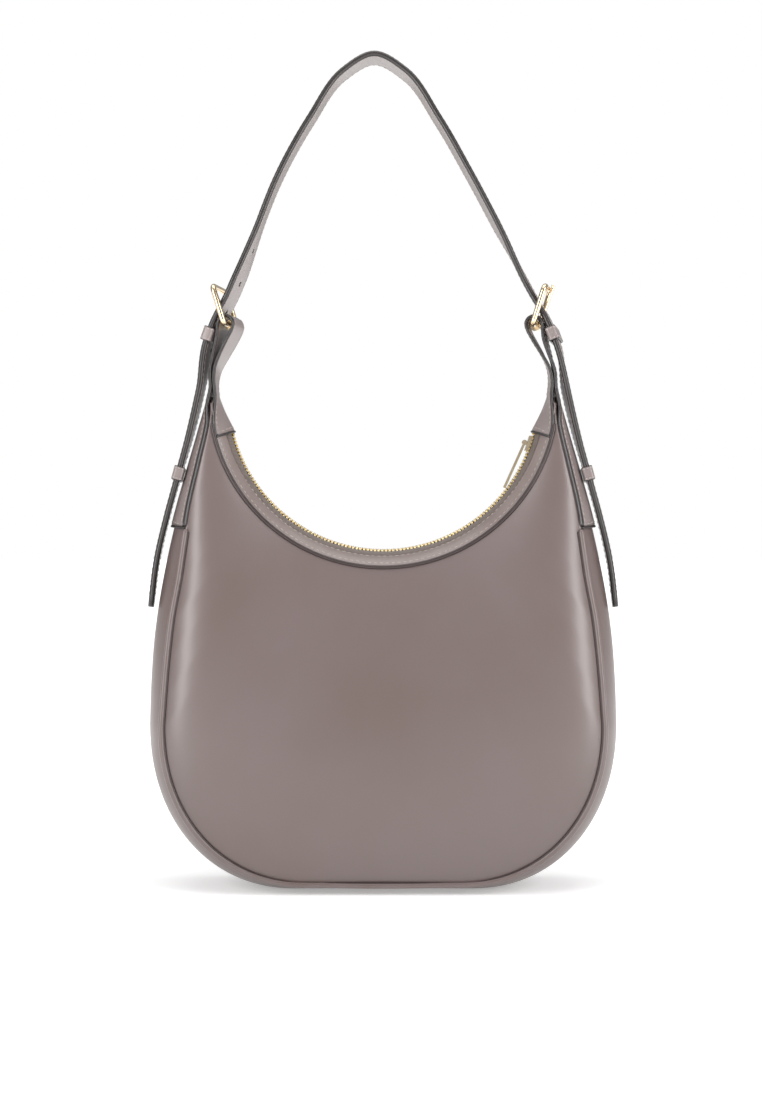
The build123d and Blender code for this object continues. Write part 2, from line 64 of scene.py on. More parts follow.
halfWidth, hornHeight = gussetHigh.x, gussetHigh.z
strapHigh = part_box("shoulder_strap")[1]
tailLow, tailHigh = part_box("right_strap_tail")
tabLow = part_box("right_side_tab")[0]
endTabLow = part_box("right_zip_end_tab")[0]
print("frame loaded:", len(frame["nodes"]), "nodes")


# shared helpers
def unit(vectors):
    return vectors / np.linalg.norm(vectors, axis=-1, keepdims=True)


def ease(share):
    share = np.clip(share, 0, 1)
    return share * share * (3 - 2 * share)


def alongLine(line):
    steps = np.linalg.norm(np.diff(line, axis=0), axis=1)
    return np.concatenate(([0], np.cumsum(steps)))


def pick(values, along, where):
    # values given at distances along a line, read off at other distances
    values = np.asarray(values, float)
    if values.ndim == 1:
        return np.interp(where, along, values)
    return np.stack([np.interp(where, along, values[:, k]) for k in range(values.shape[1])], axis=1)


def evenly(line, spacing):
    along = alongLine(line)
    count = max(3, int(round(along[-1] / spacing)) + 1)
    return pick(line, along, np.linspace(0, along[-1], count))


def smoothLine(points, spacing):
    # a smooth curve through a few points, then evenly spaced
    knots = np.array(points, float)
    gaps = np.linalg.norm(np.diff(knots, axis=0), axis=1)[:, None]
    slopes = np.diff(knots, axis=0) / gaps
    middle = (slopes[:-1] * gaps[1:] + slopes[1:] * gaps[:-1]) / (gaps[1:] + gaps[:-1])
    tangents = np.vstack((slopes[:1], middle, slopes[-1:]))
    t = np.linspace(0, 1, 24, endpoint=False)[:, None]
    fine = []
    for i in range(len(knots) - 1):
        fine.append(
            (2 * t**3 - 3 * t**2 + 1) * knots[i]
            + (t**3 - 2 * t**2 + t) * gaps[i] * tangents[i]
            + (3 * t**2 - 2 * t**3) * knots[i + 1]
            + (t**3 - t**2) * gaps[i] * tangents[i + 1]
        )
    return evenly(np.vstack(fine + [knots[-1:]]), spacing)


def gridFaces(rows, columns, wrapRows=False, wrapColumns=False):
    faces = []
    for i in range(rows if wrapRows else rows - 1):
        below = (i + 1) % rows
        for j in range(columns if wrapColumns else columns - 1):
            beside = (j + 1) % columns
            faces.append(
                (i * columns + j, i * columns + beside, below * columns + beside, below * columns + j))
    return faces


def capFaces(count, columns):
    # the two ends of a tube of points
    return [tuple(range(columns)), tuple(range((count - 1) * columns, count * columns))]


def makePiece(name, points, faces, materials, faceSlots=None, awayFrom=None):
    mesh = bpy.data.meshes.new(name)
    mesh.from_pydata(np.asarray(points).reshape(-1, 3).tolist(), [], faces)
    for material in materials:
        mesh.materials.append(material)
    if faceSlots is not None:
        mesh.polygons.foreach_set("material_index", faceSlots)
    mesh.polygons.foreach_set("use_smooth", [True] * len(mesh.polygons))
    form = bmesh.new()
    form.from_mesh(mesh)
    bmesh.ops.recalc_face_normals(form, faces=form.faces)
    if awayFrom is not None:  # an open sheet faces away from this point
        lean = sum(
            (f.calc_center_median() - Vector(awayFrom)).dot(f.normal) * f.calc_area() for f in form.faces)
        if lean < 0:
            bmesh.ops.reverse_faces(form, faces=form.faces)
    form.to_mesh(mesh)
    form.free()
    piece = bpy.data.objects.new(name, mesh)
    bpy.context.scene.collection.objects.link(piece)
    return piece


def applyModifier(piece, kind, **settings):
    modifier = piece.modifiers.new(kind.lower(), kind)
    for key, value in settings.items():
        setattr(modifier, key, value)
    evaluated = piece.evaluated_get(bpy.context.evaluated_depsgraph_get())
    mesh = bpy.data.meshes.new_from_object(evaluated)
    piece.modifiers.clear()
    piece.data = mesh
    return piece


def sheetPiece(name, grid, material, thickness, awayFrom=None):
    # a sheet over a grid of points, facing away from the bag's middle and thickened inward
    faces = gridFaces(*grid.shape[:2])
    sheet = makePiece(name, grid, faces, [material], awayFrom=awayFrom or panel["bagMiddle"])
    return applyModifier(sheet, "SOLIDIFY", thickness=thickness, offset=-1.0)


def tubePiece(name, line, radius, materials, sides=12, closed=False):
    line = np.asarray(line, float)
    ahead = np.roll(line, -1, 0) - np.roll(line, 1, 0) if closed else np.gradient(line, axis=0)
    ahead = unit(ahead)
    radii = np.full(len(line), radius) if np.isscalar(radius) else np.asarray(radius)
    if not closed:  # rounded ends
        tilt = np.radians((82, 58, 28))
        first = line[0] - ahead[0] * radii[0] * np.sin(tilt)[:, None]
        last = line[-1] + ahead[-1] * radii[-1] * np.sin(tilt[::-1])[:, None]
        line = np.vstack((first, line, last))
        radii = np.concatenate((radii[0] * np.cos(tilt), radii, radii[-1] * np.cos(tilt[::-1])))
        ahead = np.vstack((ahead[:1].repeat(3, 0), ahead, ahead[-1:].repeat(3, 0)))
    side = np.cross(ahead[0], (0.0, 1.0, 0.0))
    if np.linalg.norm(side) < 0.1:
        side = np.array((1.0, 0.0, 0.0))
    sideways = []
    for direction in ahead:  # the side vector is carried along, so that the tube doesn't twist
        side = unit(side - direction * np.dot(side, direction))
        sideways.append(side)
    sideways = np.array(sideways)
    upward = np.cross(ahead, sideways)
    turn = np.linspace(0, 2 * math.pi, sides, endpoint=False)[None, :, None]
    around = np.cos(turn) * sideways[:, None] + np.sin(turn) * upward[:, None]
    points = line[:, None] + around * radii[:, None, None]
    faces = gridFaces(len(line), sides, closed, True)
    if not closed:
        faces += capFaces(len(line), sides)
    return makePiece(name, points, faces, materials)


def dropAt(offset, widths, drop, power):
    return drop * (np.abs(offset) / widths) ** power


def stripPiece(
        name, line, across, facing, widths, thickness, materials, drop=0.0, power=1.0, closed=False,
        crown=0.0):
    # a leather strip with rounded, painted edges: the second material is the edge paint
    count = len(line)
    widths = np.broadcast_to(widths, count)[:, None]
    drop = np.broadcast_to(drop, count)[:, None]
    power = np.broadcast_to(power, count)[:, None]
    half, edge = thickness / 2, thickness * 0.45
    flat = np.linspace(-1, 1, 13)[None]
    arc = np.radians(np.linspace(90, -90, 7))[None, 1:-1]
    inner = np.maximum(widths - edge, 0.05 * mm)
    topU, topV = inner * flat, np.broadcast_to(half + crown * (1 - flat**2), (count, 13))
    edgeU = inner + edge * np.cos(arc)
    edgeV = np.broadcast_to(half * np.sin(arc), edgeU.shape)
    u = np.concatenate((topU, edgeU, -topU, -edgeU), axis=1)
    v = np.concatenate((topV, edgeV, -topV, -edgeV), axis=1)
    v = v - dropAt(u, widths, drop, power)
    points = line[:, None] + across[:, None] * u[..., None] + facing[:, None] * v[..., None]
    columns = u.shape[1]
    faces = gridFaces(count, columns, closed, True)
    painted = [1 if 12 <= (i % columns) <= 17 or (i % columns) >= 30 else 0 for i in range(len(faces))]
    if not closed:
        faces += capFaces(count, columns)
        painted += [1, 1]
    return makePiece(name, points, faces, materials, painted)


def stitchRow(line, facing, pitch):
    # middles, directions and outward normals of the stitches along a row
    along = alongLine(line)
    where = np.arange(pitch * 0.5, along[-1], pitch)
    return pick(line, along, where), unit(pick(np.gradient(line, axis=0), along, where)), unit(
        pick(facing, along, where))


def stitchPiece(name, rows, material, length=2.7 * mm, thick=0.62 * mm):
    # each stitch is a small flattened capsule whose ends dip into the leather
    middles, directions, normals = (np.vstack([row[k] for row in rows]) for k in range(3))
    beside = np.cross(normals, directions)
    stops = np.array((-0.5, -0.32, 0.0, 0.32, 0.5)) * length
    radii = np.array((0.3, 0.85, 1.0, 0.85, 0.3)) * thick / 2
    sinks = np.array((0.75, 0.12, 0.0, 0.12, 0.75)) * thick / 2
    turn = np.linspace(0, 2 * math.pi, 6, endpoint=False)
    points = []
    for stop, radius, sink in zip(stops, radii, sinks):
        for angle in turn:
            lift = math.sin(angle) * radius * 0.8 - sink
            points.append(middles + directions * stop + beside * math.cos(angle) * radius + normals * lift)
    points = np.stack(points, axis=1)
    one = gridFaces(5, 6, False, True) + capFaces(5, 6)
    faces = [tuple(corner + 30 * i for corner in face) for i in range(len(middles)) for face in one]
    return makePiece(name, points, faces, [material])


def reshape(piece, change):
    points = np.array([v.co for v in piece.data.vertices])
    piece.data.vertices.foreach_set("co", change(points).astype(np.float32).ravel())
    piece.data.update()


# materials
def linear(hexColour):
    channels = [int(hexColour[i:i + 2], 16) / 255 for i in (0, 2, 4)]
    return tuple(c / 12.92 if c < 0.04045 else ((c + 0.055) / 1.055) ** 2.4 for c in channels) + (1.0,)


def addNode(tree, kind, settings=None, inputs=None):
    node = tree.nodes.new(kind)
    for key, value in (settings or {}).items():
        setattr(node, key, value)
    for key, value in (inputs or {}).items():
        if isinstance(value, bpy.types.NodeSocket):
            tree.links.new(value, node.inputs[key])
        else:
            node.inputs[key].default_value = value
    return node


def startMaterial(name):
    material = bpy.data.materials.new(name)
    material.use_nodes = True
    tree = material.node_tree
    tree.nodes.clear()
    place = addNode(tree, "ShaderNodeTexCoord").outputs["Object"]
    output = addNode(tree, "ShaderNodeOutputMaterial")
    return material, tree, place, output


def noise(tree, place, size, detail, roughness=0.5):
    inputs = {"Vector": place, "Scale": 1 / (size * mm), "Detail": detail, "Roughness": roughness}
    return addNode(tree, "ShaderNodeTexNoise", None, inputs).outputs["Fac"]


def bumpFrom(tree, strength, depth, height):
    inputs = {"Strength": strength, "Distance": depth * mm, "Height": height}
    return addNode(tree, "ShaderNodeBump", None, inputs).outputs["Normal"]


def finishMaterial(tree, output, inputs):
    shader = addNode(tree, "ShaderNodeBsdfPrincipled", None, inputs)
    tree.links.new(shader.outputs[0], output.inputs["Surface"])


def leatherMaterial(name, look):
    # aniline-dyed calf with a satin finish: soft clouding, a fine pore grain and a calm sheen
    material, tree, place, output = startMaterial(name)
    clouds = noise(tree, place, look["cloud"], 3.0, 0.55)
    tone = addNode(tree, "ShaderNodeValToRGB", None, {"Fac": clouds})
    darkEnd, lightEnd = tone.color_ramp.elements
    darkEnd.position, darkEnd.color = 0.32, linear(look["shade"])
    lightEnd.position, lightEnd.color = 0.68, linear(look["colour"])
    pores = addNode(tree, "ShaderNodeTexVoronoi", {"feature": "SMOOTH_F1"}, {
        "Vector": place, "Scale": 1 / (look["grain"] * mm), "Smoothness": 0.6})
    creases = noise(tree, place, look["crease"], 4.0)
    relief = addNode(tree, "ShaderNodeMath", {"operation": "MULTIPLY_ADD"}, {
        0: creases, 1: 1.6, 2: pores.outputs["Distance"]})
    bump = bumpFrom(tree, look["relief"], 0.12, relief.outputs[0])
    sheen = addNode(tree, "ShaderNodeMapRange", None, {
        "Value": clouds, "From Min": 0.3, "From Max": 0.7, "To Min": look["rough"] - 0.03,
        "To Max": look["rough"] + 0.04})
    finishMaterial(tree, output, {
        "Base Color": tone.outputs["Color"], "Roughness": sheen.outputs["Result"], "Normal": bump,
        "IOR": 1.5, "Specular IOR Level": look["gloss"], "Coat Weight": look["coat"],
        "Coat Roughness": 0.3})
    return material


def threadMaterial(name, hexColour, twist=0.5):
    # bonded polyester: two plies whose twist shows as slanting ridges; the raised side of each ply is
    # painted lighter, a painted highlight
    material, tree, place, output = startMaterial(name)
    plies = addNode(tree, "ShaderNodeTexWave", {"bands_direction": "DIAGONAL"}, {
        "Vector": place, "Scale": 0.31 / (twist * mm), "Distortion": 0.6})
    bump = bumpFrom(tree, 0.5, 0.08, plies.outputs["Fac"])
    tone = addNode(tree, "ShaderNodeMix", {"data_type": "RGBA"}, {
        0: plies.outputs["Fac"], 6: linear(hexColour), 7: linear("aaa09a")})
    finishMaterial(tree, output, {
        "Base Color": tone.outputs[2], "Roughness": 0.55, "Sheen Weight": 0.3, "Normal": bump})
    return material


def wovenMaterial(name, hexColour, paintedGapShadeColour, pitch, rough):
    # woven cloth: warp and weft show as a fine check of raised threads; the low gaps between them are
    # painted darker, a painted shade
    material, tree, place, output = startMaterial(name)
    spread = addNode(tree, "ShaderNodeMapping", None, {
        "Vector": place, "Rotation": (0.3, 0.4, math.radians(45))})
    threads = {"Vector": spread.outputs[0], "Scale": 0.31 / (pitch * mm), "Distortion": 0.4}
    warp, weft = (
        addNode(tree, "ShaderNodeTexWave", {"bands_direction": way}, threads) for way in "XZ")
    check = addNode(tree, "ShaderNodeMath", {"operation": "MULTIPLY"}, {
        0: warp.outputs["Fac"], 1: weft.outputs["Fac"]})
    tone = addNode(tree, "ShaderNodeMix", {"data_type": "RGBA"}, {
        0: check.outputs[0], 6: linear(paintedGapShadeColour), 7: linear(hexColour)})
    bump = bumpFrom(tree, 0.6, 0.15, check.outputs[0])
    finishMaterial(tree, output, {
        "Base Color": tone.outputs[2], "Roughness": rough, "Sheen Weight": 0.25, "Normal": bump})
    return material


def metalMaterial(name, hexColour, wornColour, rough, scratch):
    # plated and polished: near-mirror with faint hairlines and a slightly deeper tone in patches
    material, tree, place, output = startMaterial(name)
    stretched = addNode(tree, "ShaderNodeMapping", None, {"Vector": place, "Scale": (1.0, 1.0, 0.12)})
    hairlines = noise(tree, stretched.outputs[0], scratch, 2.0)
    patches = noise(tree, place, 6, 2.0)
    tone = addNode(tree, "ShaderNodeMix", {"data_type": "RGBA"}, {
        0: patches, 6: linear(wornColour), 7: linear(hexColour)})
    polish = addNode(tree, "ShaderNodeMapRange", None, {
        "Value": hairlines, "To Min": rough - 0.05, "To Max": rough + 0.07})
    bump = bumpFrom(tree, 0.06, 0.02, hairlines)
    finishMaterial(tree, output, {
        "Base Color": tone.outputs[2], "Metallic": 1.0, "Roughness": polish.outputs["Result"],
        "Normal": bump})
    return material


calfLook = {
    "colour": "615452", "shade": "5e504c", "cloud": 90, "grain": 1.3, "crease": 3.0, "relief": 0.13,
    "rough": 0.38, "gloss": 0.6, "coat": 0.35}
calfPanel = leatherMaterial("satinCalfPanel", calfLook)
calfGusset = leatherMaterial("satinCalfGusset", calfLook | {"cloud": 40, "rough": 0.4})
calfPiping = leatherMaterial("rolledCalfPiping", calfLook | {"grain": 0.9, "cloud": 20, "colour": "635654"})
calfTab = leatherMaterial("skivedCalfTab", calfLook | {
    "colour": "786d6b", "shade": "706462", "cloud": 25, "grain": 1.0})
calfStrap = leatherMaterial("foldedCalfStrap", calfLook | {
    "colour": "817877", "shade": "786e6c", "cloud": 30, "grain": 1.0})
calfBand = leatherMaterial("skivedCalfBand", calfLook | {
    "colour": "786c68", "shade": "716460", "cloud": 22, "grain": 1.0})
edgeLook = {
    "colour": "262020", "shade": "1f1a1a", "cloud": 9, "grain": 0.6, "crease": 1.2, "relief": 0.2,
    "rough": 0.34, "gloss": 0.5, "coat": 0.2}
# several brushed coats: dark, smooth, faintly wavy
edgePaint = leatherMaterial("brushedEdgePaint", edgeLook)
beadPaint = leatherMaterial("brushedEdgePaintBrown", edgeLook | {"colour": "302322", "shade": "291d1c"})
thread = threadMaterial("bondedPolyesterThread", "8f837c")
tapeCloth = wovenMaterial("wovenPolyesterTape", "6b5f59", "554a45", 0.55, 0.75)
liningCloth = wovenMaterial("twillLining", "8d8077", "72675f", 0.7, 0.8)
fibreBoard = wovenMaterial("pressedFibreBoard", "5d534c", "4a423c", 1.4, 0.85)
champagneGold = metalMaterial("champagneGoldPlating", "e2d9c6", "d9b987", 0.14, 0.4)
zipBrass = metalMaterial("polishedZipBrass", "cfbf92", "c2a35f", 0.22, 0.3)
print("materials made")

# body: outlines shared by the panels, the gusset and the piping
body = {
    "seamBase": 0.3125,  # half the straight part of the seam, as a share of the half width
    "crestBase": 0.395,
    "squareness": 0.95,  # below 1 the lower corners are a little fuller than an ellipse
    "sideShare": 0.348,  # height of the widest point, as a share of the horn height
    "seamRise": 7.5 * mm,
    # how the side draws in from the widest point up to the horn: share of half width, share of horn height
    "seamSide": (
        (0.9205, 0.348), (0.898, 0.494), (0.881, 0.571), (0.853, 0.651), (0.8315, 0.733),
        (0.809, 0.812), (0.7715, 0.8975), (0.7345, 0.985), (0.728, 1.02)),
    "crestSide": (
        (1.0, 0.348), (0.994, 0.44), (0.981, 0.528), (0.960, 0.606), (0.929, 0.689),
        (0.889, 0.776), (0.8365, 0.870), (0.793, 0.944), (0.757, 1.005), (0.735, 1.035)),
    "basePoints": 14, "cornerPoints": 56, "sidePoints": 70,  # along half of each outline
    # half the depth at the seam, by height
    "depthHeights": (0, 31, 64, 108, 133, 159, 184, 209, 236, 261, 289, 320, 328),
    "halfDepths": (31, 34, 35, 35, 34.5, 33, 31, 28, 24, 20, 16.5, 13, 12),
    "roundness": 2.4,  # how square the crown of the gusset is
    "liningShrink": 30 * mm, "floorGap": 0.3 * mm,
    "thickness": 1.8 * mm,
}


def halfDepth(height):
    return np.interp(height, np.array(body["depthHeights"]) * mm, np.array(body["halfDepths"]) * mm)


def sideLine(points):
    return smoothLine([(x * halfWidth, z * hornHeight) for x, z in points], 3 * mm)


def halfRings():
    # seam and crest points from the middle of the base to the right horn, matched one to one
    sideHeight = body["sideShare"] * hornHeight
    seamBase, crestBase = body["seamBase"] * halfWidth, body["crestBase"] * halfWidth
    seamReach = body["seamSide"][0][0] * halfWidth - seamBase
    flat = np.linspace(0, 1, body["basePoints"], endpoint=False)
    turn = np.radians(np.linspace(0, 90, body["cornerPoints"], endpoint=False))
    across, down = np.sin(turn) ** body["squareness"], np.cos(turn) ** body["squareness"]
    seam = np.vstack((
        np.stack((seamBase * flat, np.full(len(flat), body["seamRise"])), 1),
        np.stack((seamBase + seamReach * across, sideHeight - (sideHeight - body["seamRise"]) * down), 1)))
    crest = np.vstack((
        np.stack((crestBase * flat, np.zeros(len(flat))), 1),
        np.stack((crestBase + (halfWidth - crestBase) * across, sideHeight * (1 - down)), 1)))
    seamUp, crestUp = sideLine(body["seamSide"]), sideLine(body["crestSide"])
    share = np.linspace(0, 1, body["sidePoints"])
    seamSide = pick(seamUp, (seamUp[:, 1] - seamUp[0, 1]) / np.ptp(seamUp[:, 1]), share)
    crestSide = pick(crestUp, (crestUp[:, 1] - crestUp[0, 1]) / np.ptp(crestUp[:, 1]), share)
    return np.vstack((seam, seamSide)), np.vstack((crest, crestSide))


seamHalf, crestHalf = halfRings()
sideStart = body["basePoints"] + body["cornerPoints"]  # the side begins at this point


def bothSides(half):
    mirrored = half[:0:-1] * np.array((-1, 1))
    return np.vstack((mirrored, half))


seamRing, crestRing = bothSides(seamHalf), bothSides(crestHalf)
ringDepth = halfDepth(seamRing[:, 1])


def seamX(height):
    return np.interp(height, seamHalf[sideStart:, 1], seamHalf[sideStart:, 0])


def crestX(height):
    return np.interp(height, crestHalf[sideStart:, 1], crestHalf[sideStart:, 0])


# crescent mouth
mouth = {
    "seamRadius": 117 * mm, "endAngle": 86.8,
    "middleDepth": 17 * mm, "hornDepth": 13 * mm,  # half the gap between the two seams
    "beadRadius": 1.35 * mm, "beadSpread": 1.02, "beadShift": (0.2 * mm, 0.5 * mm),
    "openReach": 55 * mm, "openDrop": 42 * mm, "openFade": 30 * mm,
}


def mouthPoint(angle, radius, depth):
    # angle in degrees from the lowest point, towards the right horn
    turn = np.radians(angle)
    return np.stack((radius * np.sin(turn), depth + 0 * turn, mouthCentre - radius * np.cos(turn)), axis=-1)


def mouthDepth(angle):
    narrowing = (angle / mouth["endAngle"]) ** 2
    return mouth["middleDepth"] + (mouth["hornDepth"] - mouth["middleDepth"]) * narrowing


def followMouth(piece):
    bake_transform(piece)


# panels
panel = {
    "crown": 9 * mm, "crownReach": 25 * mm,  # how far the leather stands out beside the seam, and how fast
    "belly": 3.5 * mm,  # extra fullness in the middle
    "rows": 46, "spread": 0.6, "spreadPower": 2.4,  # how the panel's stations crowd at the horns
    "depthPower": 1.6, "mouthReach": 1.6, "fullWidth": 150 * mm, "bagMiddle": (0, 0, 0.15),
}


def panelGrid(side, sink=0.0):
    along = alongLine(seamRing)
    share = along / along[-1]
    fromHorn = 1 - np.abs(2 * share - 1)
    curved = 1 - (1 - fromHorn) ** panel["spreadPower"]
    reach = panel["spread"] * curved + (1 - panel["spread"]) * fromHorn
    angle = np.sign(share - 0.5) * mouth["endAngle"] * (1 - reach)
    inner = mouthPoint(angle, mouth["seamRadius"], 0.0)[:, (0, 2)]
    innerDepth = mouthDepth(angle)
    steps = 0.5 - 0.5 * np.cos(np.linspace(0, math.pi, panel["rows"]))
    rows = []
    for step in steps:
        place = seamRing * (1 - step) + inner * step
        width = np.linalg.norm(seamRing - inner, axis=1)
        base = ringDepth + (innerDepth - ringDepth) * step ** panel["depthPower"]
        rise = 1 - np.exp(-step * width / panel["crownReach"])
        settle = 1 - np.exp(-(1 - step) * width / (panel["mouthReach"] * panel["crownReach"]))
        full = panel["belly"] * 4 * step * (1 - step) * ease(width / panel["fullWidth"])
        depth = base + panel["crown"] * rise * settle + full - sink
        rows.append(np.stack((place[:, 0], side * depth, place[:, 1]), axis=1))
    return np.array(rows)


sides = {"front": -1, "back": 1}
for word, side in sides.items():
    grid = panelGrid(side)
    leather = sheetPiece(word + "_panel_leather", grid, calfPanel, body["thickness"])
    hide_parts(word + "_panel")
    followMouth(leather)
print("panels made")

# gusset: one long strip from horn to horn, round under the base
across = np.linspace(-1, 1, 29)  # from the front seam to the back seam


def gussetGrid(sink=0.0):
    crown = 1 - np.abs(across) ** body["roundness"]
    plan = seamRing[:, None] + (crestRing - seamRing)[:, None] * crown[None, :, None]
    depth = ringDepth[:, None] * across[None]
    inward = unit(seamRing - crestRing)[:, None] * sink
    height = np.maximum(plan[..., 1] + inward[..., 1], body["floorGap"])
    depth = depth * (1 - sink / body["liningShrink"])
    return np.stack((plan[..., 0] + inward[..., 0], depth, height), axis=-1)


gusset = sheetPiece("gusset_leather", gussetGrid(), calfGusset, body["thickness"])
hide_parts("gusset")
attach(gusset, "bag")

# piping along the panel seams, and beside it a dark bead that is the panel's painted edge and also painted
# shade in the crease between panel and piping
piping = {
    "radius": 1.9 * mm, "outward": 1.2 * mm, "beyondSeam": 0.9 * mm, "top": tabLow.z - 1.5 * mm,
    "edgeAndShadeRadius": 0.75 * mm, "edgeAndShadeInward": 0.7 * mm, "edgeAndShadeBeyond": 1.2 * mm, "spacing": 3 * mm,
}
outwardRing = unit(crestRing - seamRing)
low = seamRing[:, 1] < piping["top"]
for word, side in sides.items():
    place = seamRing[low] + outwardRing[low] * piping["outward"]
    depth = side * (ringDepth[low] + piping["beyondSeam"])
    line = evenly(np.stack((place[:, 0], depth, place[:, 1]), 1), piping["spacing"])
    roll = tubePiece(word + "_piping_roll", line, piping["radius"], [calfPiping], 14)
    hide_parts(word + "_piping")
    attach(roll, "bag")
    # dark bead where the panel meets the piping: edge paint, and painted shade standing in for the crease's
    # shadow
    place = seamRing[low] - outwardRing[low] * piping["edgeAndShadeInward"]
    depth = side * (ringDepth[low] + piping["edgeAndShadeBeyond"])
    line = evenly(np.stack((place[:, 0], depth, place[:, 1]), 1), piping["spacing"])
    edge = tubePiece(word + "_panel_edge_and_crease_shade", line, piping["edgeAndShadeRadius"], [beadPaint], 8)
    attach(edge, "bag")
print("gusset and piping made")

# mouth band, its painted edge, the zip tape and the teeth
zipRun = {
    "bandInner": 108.2 * mm, "bandInnerDepth": 4.6 * mm, "bandThickness": 1.4 * mm, "bandBulge": 0.8 * mm,
    "endAngle": 77.8, "stitchPitch": 4.0 * mm, "depthPower": 0.92, "stations": 181,
    "rows": 13, "stitchRows": ((0.2, 2), (0.74, 9)),  # share of the band's width, and the row it lies on
    "tapeInner": (106.6 * mm, 2.4 * mm), "tapeOuter": (109.6 * mm, 7.6 * mm), "tapeThickness": 0.5 * mm,
    "chainRadius": 106 * mm, "toothPitch": 2.5 * mm, "toothWidth": 1.05 * mm, "toothEnd": 76.0,
    "toothTip": -0.35 * mm, "toothRoot": 3.0 * mm, "toothHeight": 2.5 * mm,
}


def bandPoint(angle, share, side):
    outerDepth = mouthDepth(angle)
    radius = zipRun["bandInner"] + (mouth["seamRadius"] - zipRun["bandInner"]) * share
    innerDepth = zipRun["bandInnerDepth"]
    depth = innerDepth + (outerDepth - innerDepth) * share ** zipRun["depthPower"]
    bulge = zipRun["bandBulge"] * np.sin(math.pi * share)
    lift = bulge * 0.7  # the band faces half inward and half outward
    return mouthPoint(angle, radius - lift, side * (depth + lift))


angles = np.linspace(-zipRun["endAngle"], zipRun["endAngle"], zipRun["stations"])
for word, side in sides.items():
    grid = np.stack([bandPoint(angles, share, side) for share in np.linspace(0, 1, zipRun["rows"])])
    band = sheetPiece(
        word + "_mouth_band", grid, calfBand, zipRun["bandThickness"], (0, -side * 0.2, -0.2))
    normalLine = [
        np.cross(grid[k + 1] - grid[k], np.gradient(grid[k], axis=0)) for k in range(zipRun["rows"] - 1)]
    outside = mouthPoint(angles, 0, side * 0.1) - grid[0]
    normalLine = [n * np.sign((n * outside).sum(1).mean()) for n in normalLine]
    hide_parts(word + "_zip_band", "zip_band_ends")
    followMouth(band)

    rows = []
    for share, k in zipRun["stitchRows"]:
        rows.append(stitchRow(bandPoint(angles, share, side), normalLine[k], zipRun["stitchPitch"]))
    sewing = stitchPiece(word + "_band_stitches", rows, thread)
    followMouth(sewing)

    beadOut, beadProud = mouth["beadShift"]
    beadLine = mouthPoint(
        angles * mouth["beadSpread"], mouth["seamRadius"] + beadOut, side * (mouthDepth(angles) + beadProud))
    bead = tubePiece(word + "_mouth_edge", evenly(beadLine, 2.5 * mm), mouth["beadRadius"], [beadPaint], 12)
    followMouth(bead)

    inner, outer = zipRun["tapeInner"], zipRun["tapeOuter"]
    tapeGrid = []
    for share in np.linspace(0, 1, 5):
        radius = inner[0] + (outer[0] - inner[0]) * share**2
        tapeGrid.append(mouthPoint(angles, radius, side * (inner[1] + (outer[1] - inner[1]) * share)))
    tape = sheetPiece(
        word + "_tape_cloth", np.stack(tapeGrid), tapeCloth, zipRun["tapeThickness"], (0, 0, -0.2))
    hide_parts(word + "_zip_tape", "zip_tape_ends")
    followMouth(tape)

    # teeth: rounded blocks on the tape's edge, those of one side standing between those of the other
    step = math.degrees(zipRun["toothPitch"] / zipRun["chainRadius"])
    toothAngles = np.arange(-zipRun["toothEnd"] + (step / 2 if side > 0 else 0), zipRun["toothEnd"], step)
    halfWide, halfTall = zipRun["toothWidth"] / 2, zipRun["toothHeight"] / 2
    # sections of one tooth from root to tip: distance across, share of width, share of height
    root, tip = zipRun["toothRoot"], zipRun["toothTip"]
    sections = (
        (root, 0.7, 0.7), (root - 0.3 * mm, 1, 1), (1.2 * mm, 1, 1), (0.8 * mm, 0.75, 0.85),
        (0.3 * mm, 0.8, 0.9), (tip + 0.25 * mm, 0.95, 0.85), (tip, 0.5, 0.5))
    ringSize = 8  # corners of each section
    corner = np.radians((np.arange(ringSize) + 0.5) * 360 / ringSize)
    squareU, squareV = np.clip(np.cos(corner) * 1.25, -1, 1), np.clip(np.sin(corner) * 1.25, -1, 1)
    points = []
    for depth, wide, tall in sections:
        for u, v in zip(squareU, squareV):
            radius = zipRun["chainRadius"] + v * halfTall * tall
            slide = np.degrees(u * halfWide * wide / zipRun["chainRadius"])
            points.append(mouthPoint(toothAngles + slide, radius, side * depth))
    points = np.stack(points, axis=1)
    one = gridFaces(len(sections), ringSize, False, True) + capFaces(len(sections), ringSize)
    size = points.shape[1]
    faces = [tuple(c + size * i for c in face) for i in range(len(toothAngles)) for face in one]
    teeth = makePiece(word + "_chain_teeth", points, faces, [zipBrass])
    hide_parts(word + "_zip_teeth", "zip_teeth_ends")
    followMouth(teeth)
print("mouth and zip made")

